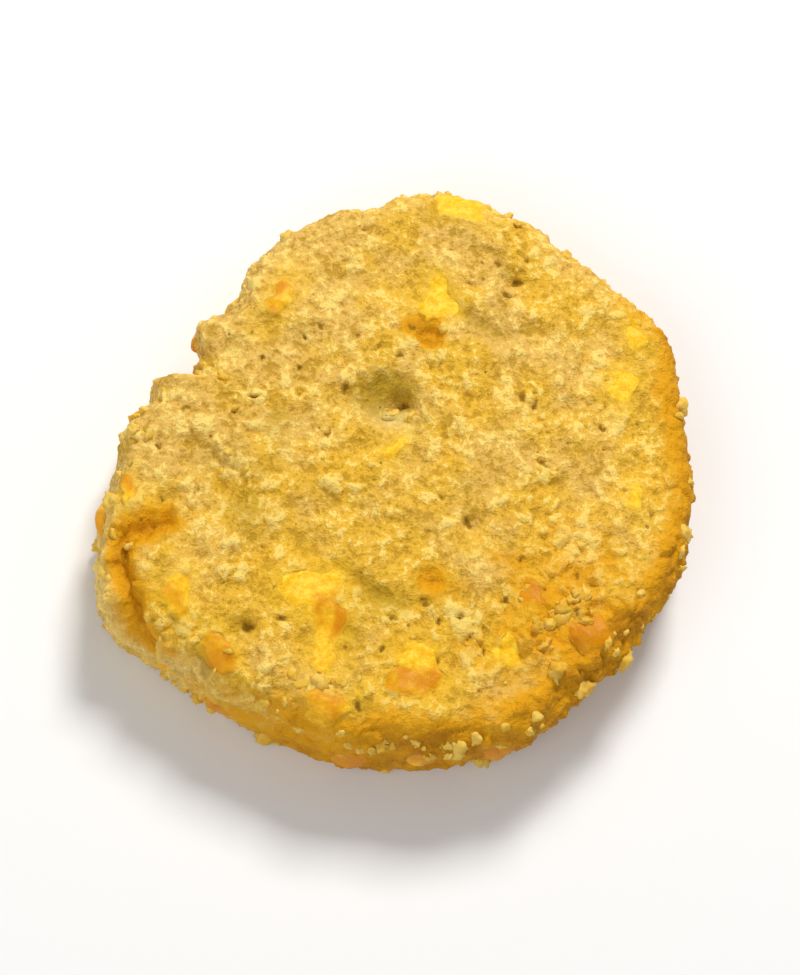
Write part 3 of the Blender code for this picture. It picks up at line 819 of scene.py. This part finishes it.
def makeCrumbs(tree, sharedDice, dice):
    c = crumbs
    ball = bmesh.new()
    for number in range(c["big"]):
        angle = (number + sharedDice.uniform(-c["bigSpread"], c["bigSpread"])) * 360.0 / c["big"]
        across = sharedDice.uniform(*c["bigSize"])
        high = sharedDice.uniform(*c["bigHeight"])
        atFoot = number % c["footEvery"] == 0
        place, out = wallSpot(tree, angle, across * c["footLevel"] if atFoot else high)
        # the solid draws a crumb's flatness here, so this keeps the next draws in step with it
        sharedDice.random()
        addCrumb(ball, dice, place - out * across * c["bigSunk"], across)
    for _ in range(c["edge"]):
        angle = dice.gauss(*c["edgeFront"]) if dice.random() < c["edgeFrontShare"] else dice.uniform(0, 360)
        across = dice.uniform(*c["edgeSize"])
        place, out = wallSpot(tree, angle, dice.uniform(*c["edgeHeight"]))
        addCrumb(ball, dice, place - out * across * c["edgeSunk"], across)
    for _ in range(c["foot"]):
        across = dice.uniform(*c["footSize"])
        place, out = wallSpot(tree, dice.uniform(0, 360), dice.uniform(*c["footHeight"]) * across)
        addCrumb(ball, dice, place - out * across * c["footSunk"], across)
    spots = [(x * mm, y * mm, size * mm) for x, y, size in c["named"]]
    for _ in range(c["top"]):
        radius = dough["radius"] * c["topField"] * math.sqrt(dice.random())
        angle = dice.uniform(0, 2 * math.pi)
        spots.append((radius * math.cos(angle), radius * math.sin(angle), dice.uniform(*c["topSize"])))
    for _ in range(c["cluster"]):
        x, y = [dice.gauss(*ends) for ends in zip(dough["crumblyPlace"], c["clusterSpread"])]
        spots.append((x, y, dice.uniform(*c["clusterSize"])))
    for x, y, across in spots:
        place, normal = topSpot(tree, x, y, c["topProbe"])
        if place is not None:
            addCrumb(ball, dice, place - normal * across * c["topSunk"], across)
    mesh = bpy.data.meshes.new("looseCrumbs")
    ball.to_mesh(mesh)
    ball.free()
    piece = newObject("looseCrumbs", mesh)
    places = vertexPlaces(mesh)
    places[:, 2] = np.maximum(0.0, places[:, 2])
    moveVertices(mesh, places)
    size, height, seed = c["toastWaves"]
    toast = c["lowToast"] * (1 - smoothStep(*c["lowRange"], places[:, 2]))
    toast += c["crumblyToast"] * crumblyShare(places[:, :2]) + height * waves(places, size, seed)
    writeMarks(mesh, "crustMarks", np.full(len(places), c["paintedHollowShade"]), np.zeros(len(places)), toast)
    return piece


# Shader node groups: each puts out colours, masks and heights that change over the surface

def addNode(tree, kind, **settings):
    node = tree.nodes.new(kind)
    for name, value in settings.items():
        setattr(node, name, value)
    return node


def newGroup(name, inputs, outputs):
    group = bpy.data.node_groups.new(name, "ShaderNodeTree")
    for label, value in inputs.items():
        kind = "NodeSocketColor" if isinstance(value, tuple) else "NodeSocketFloat"
        socket = group.interface.new_socket(label, in_out="INPUT", socket_type=kind)
        socket.default_value = value
    for label, kind in outputs.items():
        group.interface.new_socket(label, in_out="OUTPUT", socket_type=kind)
    return group, group.nodes.new("NodeGroupInput"), group.nodes.new("NodeGroupOutput")


def placeGroup(tree, group, **values):
    node = tree.nodes.new("ShaderNodeGroup")
    node.node_tree = group
    for label, value in values.items():
        node.inputs[label].default_value = value
    return node


# Gives a socket a fixed value, or links it where the value is another node's socket
def feed(tree, socket, value):
    if isinstance(value, bpy.types.NodeSocket):
        tree.links.new(value, socket)
    else:
        socket.default_value = value


def mixColours(tree, factor, first, second, blend="MIX"):
    mix = addNode(tree, "ShaderNodeMix", data_type="RGBA", blend_type=blend, clamp_factor=True)
    feed(tree, mix.inputs[0], factor)
    feed(tree, mix.inputs[6], first)
    feed(tree, mix.inputs[7], second)
    return mix.outputs[2]


def doMath(tree, operation, first, second=0.0, clamp=False):
    node = addNode(tree, "ShaderNodeMath", operation=operation, use_clamp=clamp)
    feed(tree, node.inputs[0], first)
    feed(tree, node.inputs[1], second)
    return node.outputs[0]


def scaled(tree, value, factor):
    return doMath(tree, "MULTIPLY", value, factor)


def noiseAt(tree, place, scale, detail=2.0, rough=0.5):
    texture = addNode(tree, "ShaderNodeTexNoise")
    texture.inputs["Detail"].default_value = detail
    texture.inputs["Roughness"].default_value = rough
    tree.links.new(place, texture.inputs["Vector"])
    feed(tree, texture.inputs["Scale"], scale)
    return texture.outputs["Fac"]


def rampOf(tree, value, low, high):
    ramp = addNode(tree, "ShaderNodeMapRange", interpolation_type="SMOOTHSTEP")
    ramp.inputs["From Min"].default_value = low
    ramp.inputs["From Max"].default_value = high
    tree.links.new(value, ramp.inputs["Value"])
    return ramp.outputs["Result"]


# Sandy grain: how light a place is, a painted highlight that grows with the grain's height, and how high it
# stands, about 0.5 on average
def sandyGrainGroup():
    outputs = {"Light": "NodeSocketFloat", "Height": "NodeSocketFloat"}
    group, start, end = newGroup("sandyGrain", {"Scale": 1 / (0.5 * mm)}, outputs)
    where = addNode(group, "ShaderNodeTexCoord").outputs["Object"]
    height = noiseAt(group, where, start.outputs["Scale"], 4.0, 0.74)
    group.links.new(rampOf(group, height, 0.36, 0.66), end.inputs["Light"])
    group.links.new(height, end.inputs["Height"])
    return group


# Sparse round specks: a share of the cells of a Voronoi pattern, each with a small spot at its middle
def specksGroup():
    inputs = {"Scale": 1 / (1.6 * mm), "Share": 0.4, "Reach": 0.14}
    group, start, end = newGroup("crustSpecks", inputs, {"Mask": "NodeSocketFloat"})
    where = addNode(group, "ShaderNodeTexCoord").outputs["Object"]
    cells = addNode(group, "ShaderNodeTexVoronoi")
    group.links.new(where, cells.inputs["Vector"])
    group.links.new(start.outputs["Scale"], cells.inputs["Scale"])
    lot = addNode(group, "ShaderNodeSeparateColor")
    group.links.new(cells.outputs["Color"], lot.inputs["Color"])
    chosen = doMath(group, "LESS_THAN", lot.outputs["Red"], start.outputs["Share"])
    reach = doMath(group, "MULTIPLY", start.outputs["Reach"], doMath(group, "ADD", lot.outputs["Green"], 0.4))
    away = doMath(group, "DIVIDE", cells.outputs["Distance"], reach)
    near = doMath(group, "SUBTRACT", 1.0, away, clamp=True)
    soft = rampOf(group, near, 0.0, 0.45)
    group.links.new(doMath(group, "MULTIPLY", chosen, soft), end.inputs["Mask"])
    return group


# Browning: from the raw colour over orange gold to brown, patchy like a real crust
def toastGroup():
    inputs = {
        "Base": (0.6, 0.35, 0.05, 1),
        "Gold": (0.5, 0.2, 0.01, 1),
        "Brown": (0.25, 0.08, 0.005, 1),
        "Amount": 0.5,
        "Patch Scale": 1 / (2.4 * mm),
    }
    group, start, end = newGroup("toasting", inputs, {"Color": "NodeSocketColor"})
    where = addNode(group, "ShaderNodeTexCoord").outputs["Object"]
    patch = noiseAt(group, where, start.outputs["Patch Scale"], 3.0, 0.65)
    patchy = scaled(group, doMath(group, "SUBTRACT", patch, 0.5), 1.3)
    shifted = doMath(group, "ADD", start.outputs["Amount"], patchy)
    goldShare = rampOf(group, shifted, 0.15, 0.8)
    golden = mixColours(group, goldShare, start.outputs["Base"], start.outputs["Gold"])
    brownShare = rampOf(group, shifted, 0.7, 1.4)
    browned = mixColours(group, brownShare, golden, start.outputs["Brown"])
    group.links.new(browned, end.inputs["Color"])
    return group


grainGroup = sandyGrainGroup()
speckGroup = specksGroup()
toastingGroup = toastGroup()


def toastedColour(tree, base, amount, gold, brown):
    node = placeGroup(tree, toastingGroup, Gold=gold, Brown=brown)
    feed(tree, node.inputs["Base"], base)
    feed(tree, node.inputs["Amount"], amount)
    return node.outputs["Color"]


# Specular level, then how much, how far by colour and at what scale light scatters inside
def setScatter(shader, specular, weight, radius, scale):
    shader.inputs["Specular IOR Level"].default_value = specular
    shader.inputs["Subsurface Weight"].default_value = weight
    shader.inputs["Subsurface Radius"].default_value = radius
    shader.inputs["Subsurface Scale"].default_value = scale


def readMarks(tree, name):
    marks = addNode(tree, "ShaderNodeAttribute", attribute_name=name)
    parts = addNode(tree, "ShaderNodeSeparateColor")
    tree.links.new(marks.outputs["Color"], parts.inputs["Color"])
    return parts.outputs["Red"], parts.outputs["Green"], parts.outputs["Blue"]


def newMaterial(name):
    material = bpy.data.materials.new(name)
    material.use_nodes = True
    tree = material.node_tree
    return material, tree, tree.nodes["Principled BSDF"]


def bumpFrom(tree, height, strength, distance, shader):
    bump = addNode(tree, "ShaderNodeBump")
    bump.inputs["Strength"].default_value = strength
    bump.inputs["Distance"].default_value = distance
    tree.links.new(height, bump.inputs["Height"])
    tree.links.new(bump.outputs["Normal"], shader.inputs["Normal"])


cheeseLook = {
    "yellow": (0.85, 0.44, 0.003, 1),
    # painted highlight on the raised parts of the cheese
    "pale": (1.0, 0.65, 0.035, 1),
    "orange": (0.68, 0.26, 0.001, 1),
    "brown": (0.42, 0.15, 0.001, 1),
    # painted shade and painted highlight from the fine grain
    "paintedGrainShade": (0.7, 0.6, 0.45, 1),
    "paintedGrainHighlight": (1.2, 1.2, 1.15, 1),
}

doughLook = {
    "tan": (0.76, 0.47, 0.10, 1),
    "gold": (0.79, 0.46, 0.035, 1),
    # painted shade for the crust's low places
    "paintedHollowShade": (0.49, 0.27, 0.015, 1),
    # painted shade in the pores
    "deep": (0.24, 0.12, 0.004, 1),
    # painted highlight for the raised flakes
    "paintedPeakHighlight": (0.97, 0.72, 0.19, 1),
    "soaked": (0.84, 0.50, 0.015, 1),
    # painted olive shade
    "paintedOliveShade": (0.40, 0.25, 0.006, 1),
    "pale": (0.97, 0.80, 0.32, 1),
    "toastGold": (0.76, 0.36, 0.004, 1),
    "toastBrown": (0.44, 0.17, 0.002, 1),
    "speck": (0.30, 0.12, 0.01, 1),
}


def doughMaterial():
    material, tree, shader = newMaterial("bakedDough")
    paintedHollowShade, field, toast = readMarks(tree, "crustMarks")
    pale, paintedOliveShade, tone = readMarks(tree, "crustTintsAndShade")
    tan, poreShadeMask, _ = readMarks(tree, "crustTanAndPoreShade")
    c = doughLook
    where = addNode(tree, "ShaderNodeTexCoord").outputs["Object"]
    flakes = placeGroup(tree, grainGroup, Scale=1 / (2.0 * mm)).outputs["Height"]
    fine = placeGroup(tree, grainGroup, Scale=1 / (0.5 * mm))
    patch = noiseAt(tree, where, 1 / (6 * mm), 3.0, 0.6)
    patch = doMath(tree, "SUBTRACT", patch, scaled(tree, tan, 0.16))
    colour = mixColours(tree, rampOf(tree, patch, 0.32, 0.54), c["tan"], c["gold"])
    # the low places of the crust and its grain get a darker brown, painted shade, and the flakes that stand up
    # are paler, painted highlight
    uneven = doMath(tree, "SUBTRACT", flakes, 0.5)
    fineUneven = doMath(tree, "SUBTRACT", fine.outputs["Height"], 0.5)
    depth = doMath(tree, "SUBTRACT", paintedHollowShade, scaled(tree, uneven, 2.6))
    depth = doMath(tree, "SUBTRACT", depth, scaled(tree, fineUneven, 1.6))
    colour = mixColours(tree, scaled(tree, rampOf(tree, depth, 0.56, 1.0), 0.8), colour, c["paintedHollowShade"])
    colour = mixColours(tree, scaled(tree, rampOf(tree, depth, 0.42, 0.12), 0.8), colour, c["paintedPeakHighlight"])
    # painted olive shade in pits, furrows and the seam
    colour = mixColours(tree, scaled(tree, paintedOliveShade, 0.75), colour, c["paintedOliveShade"])
    colour = mixColours(tree, scaled(tree, pale, 0.6), colour, c["pale"])
    # cheese that soaked in, then the browning, which also carries painted shade at the right rim
    reach = doMath(tree, "ADD", field, scaled(tree, uneven, 0.3))
    soaked = rampOf(tree, reach, 0.1, 0.55)
    colour = mixColours(tree, scaled(tree, soaked, 0.5), colour, c["soaked"])
    colour = toastedColour(tree, colour, toast, c["toastGold"], c["toastBrown"])
    # painted shade in the pores
    colour = mixColours(tree, scaled(tree, poreShadeMask, 0.85), colour, c["deep"])
    specks = placeGroup(tree, speckGroup, Scale=1 / (1.7 * mm), Share=0.35, Reach=0.1)
    colour = mixColours(tree, scaled(tree, specks.outputs["Mask"], 0.75), colour, c["speck"])
    # melted cheese itself, with a soft edge
    melted = rampOf(tree, reach, 0.47, 0.56)
    # paler where the fine grain stands higher: a painted highlight
    cheesy = mixColours(tree, fine.outputs["Light"], cheeseLook["yellow"], cheeseLook["pale"])
    cheesy = toastedColour(tree, cheesy, scaled(tree, tone, 0.8), cheeseLook["orange"], cheeseLook["brown"])
    colour = mixColours(tree, melted, colour, cheesy)
    feed(tree, shader.inputs["Base Color"], colour)
    feed(tree, shader.inputs["Roughness"], doMath(tree, "SUBTRACT", 0.66, scaled(tree, melted, 0.24)))
    setScatter(shader, 0.16, 0.12, (1.0, 0.55, 0.18), 0.6 * mm)
    relief = doMath(tree, "ADD", scaled(tree, flakes, 2.2), fine.outputs["Height"])
    smooth = doMath(tree, "SUBTRACT", 1.0, scaled(tree, melted, 0.7))
    bumpFrom(tree, scaled(tree, relief, smooth), 0.8, 0.22 * mm, shader)
    return material


def cheeseMaterial():
    material, tree, shader = newMaterial("meltedCheese")
    paintedHollowShade, _, tone = readMarks(tree, "crustMarks")
    c = cheeseLook
    grain = placeGroup(tree, grainGroup, Scale=1 / (0.8 * mm))
    # paler where the relief stands high, a painted highlight, then painted shade and highlight from the grain
    colour = mixColours(tree, rampOf(tree, paintedHollowShade, 0.5, 0.0), c["yellow"], c["pale"])
    shade = mixColours(tree, grain.outputs["Light"], c["paintedGrainShade"], c["paintedGrainHighlight"])
    colour = mixColours(tree, 0.25, colour, shade, "MULTIPLY")
    colour = toastedColour(tree, colour, scaled(tree, tone, 0.75), c["orange"], c["brown"])
    feed(tree, shader.inputs["Base Color"], colour)
    feed(tree, shader.inputs["Roughness"], doMath(tree, "ADD", 0.4, scaled(tree, grain.outputs["Light"], 0.2)))
    setScatter(shader, 0.4, 0.3, (1.0, 0.6, 0.15), 1.0 * mm)
    bumpFrom(tree, grain.outputs["Height"], 0.4, 0.14 * mm, shader)
    return material


crumbLook = {
    "pale": (0.82, 0.54, 0.09, 1),
    "golden": (0.77, 0.45, 0.03, 1),
    "toastGold": (0.74, 0.36, 0.006, 1),
    "toastBrown": (0.44, 0.18, 0.004, 1),
}


def crumbMaterial():
    material, tree, shader = newMaterial("doughCrumb")
    _, _, toast = readMarks(tree, "crustMarks")
    c = crumbLook
    where = addNode(tree, "ShaderNodeTexCoord").outputs["Object"]
    lot = rampOf(tree, noiseAt(tree, where, 1 / (1.5 * mm), 2.0), 0.42, 0.62)
    colour = mixColours(tree, lot, c["pale"], c["golden"])
    grain = placeGroup(tree, grainGroup, Scale=1 / (0.4 * mm))
    colour = toastedColour(tree, colour, toast, c["toastGold"], c["toastBrown"])
    feed(tree, shader.inputs["Base Color"], colour)
    shader.inputs["Roughness"].default_value = 0.62
    setScatter(shader, 0.35, 0.2, (1.0, 0.6, 0.25), 0.5 * mm)
    bumpFrom(tree, grain.outputs["Height"], 0.6, 0.12 * mm, shader)
    return material


def dress(piece, material):
    piece.data.materials.clear()
    piece.data.materials.append(material)
    piece.data.shade_smooth()
    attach(piece, "root")
    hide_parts("biscuit")


# Floor, lamps and camera

studio = {
    "floorSize": 1.6,
    "floorColour": (0.86, 0.86, 0.86, 1),
    "worldStrength": 0.32,
    "keyPlace": (0.10, 0.34, 0.42),
    "keySize": 0.16,
    "keyPower": 2.66,
    "fillPlace": (-0.30, -0.35, 0.40),
    "fillSize": 0.5,
    "fillPower": 1.35,
    "viewElevation": 70.0,
    "viewAngle": 250.0,
    "viewDistance": 0.30,
    "frameWidth": 63 * mm,
    "aim": (0.4 * mm, -1.0 * mm, 5.0 * mm),
}


def areaLamp(name, place, size, power, colour):
    lamp = bpy.data.lights.new(name, "AREA")
    lamp.size = size
    lamp.energy = power
    lamp.color = colour
    thing = bpy.data.objects.new(name, lamp)
    thing.location = place
    thing.rotation_euler = (-Vector(place)).to_track_quat("-Z", "Y").to_euler()
    bpy.context.scene.collection.objects.link(thing)


def makeStudio():
    s = studio
    half = s["floorSize"] / 2
    mesh = bpy.data.meshes.new("floor")
    corners = [(-half, -half, 0), (half, -half, 0), (half, half, 0), (-half, half, 0)]
    mesh.from_pydata(corners, [], [(0, 1, 2, 3)])
    floor = newObject("floor", mesh)
    paint, _, shader = newMaterial("paleFloor")
    shader.inputs["Base Color"].default_value = s["floorColour"]
    shader.inputs["Roughness"].default_value = 0.6
    mesh.materials.append(paint)
    world = bpy.data.worlds.new("softRoom")
    world.use_nodes = True
    world.node_tree.nodes["Background"].inputs["Color"].default_value = (1, 1, 1, 1)
    world.node_tree.nodes["Background"].inputs["Strength"].default_value = s["worldStrength"]
    bpy.context.scene.world = world
    areaLamp("keyLamp", s["keyPlace"], s["keySize"], s["keyPower"], (1.0, 0.98, 0.95))
    areaLamp("fillLamp", s["fillPlace"], s["fillSize"], s["fillPower"], (1.0, 1.0, 1.0))
    bpy.context.scene.view_settings.view_transform = "Standard"


def makeCamera():
    s = studio
    lens = bpy.data.cameras.new("photoView")
    lens.sensor_fit = "HORIZONTAL"
    lens.sensor_width = 36
    lens.lens = 36 * s["viewDistance"] / s["frameWidth"]
    lens.clip_start = 0.01
    eye = bpy.data.objects.new("photoView", lens)
    tilt = math.radians(s["viewElevation"])
    turn = math.radians(s["viewAngle"])
    back = Vector((math.cos(turn) * math.cos(tilt), math.sin(turn) * math.cos(tilt), math.sin(tilt)))
    eye.location = Vector(s["aim"]) + back * s["viewDistance"]
    eye.rotation_euler = Vector((0, 0, 1)).rotation_difference(back).to_euler()
    bpy.context.scene.collection.objects.link(eye)
    bpy.context.scene.camera = eye


makeStudio()
makeCamera()
print("studio ready")
doughPiece, underside = makeDough()
doughTree = BVHTree.FromObject(doughPiece, bpy.context.evaluated_depsgraph_get())
print("dough shaped,", len(doughPiece.data.vertices), "vertices")
sharedDice = random.Random(7)
cheesePiece = makeCheese(doughTree, sharedDice, random.Random(5))
print("cheese bits made,", len(cheesePiece.data.polygons), "faces")
crumbPiece = makeCrumbs(doughTree, sharedDice, random.Random(11))
print("crumbs made,", len(crumbPiece.data.polygons), "faces")
thinUnderside(doughPiece, underside)
print("dough has", sum(len(face.vertices) - 2 for face in doughPiece.data.polygons), "triangles")
dress(doughPiece, doughMaterial())
dress(cheesePiece, cheeseMaterial())
dress(crumbPiece, crumbMaterial())
print("pieces dressed")
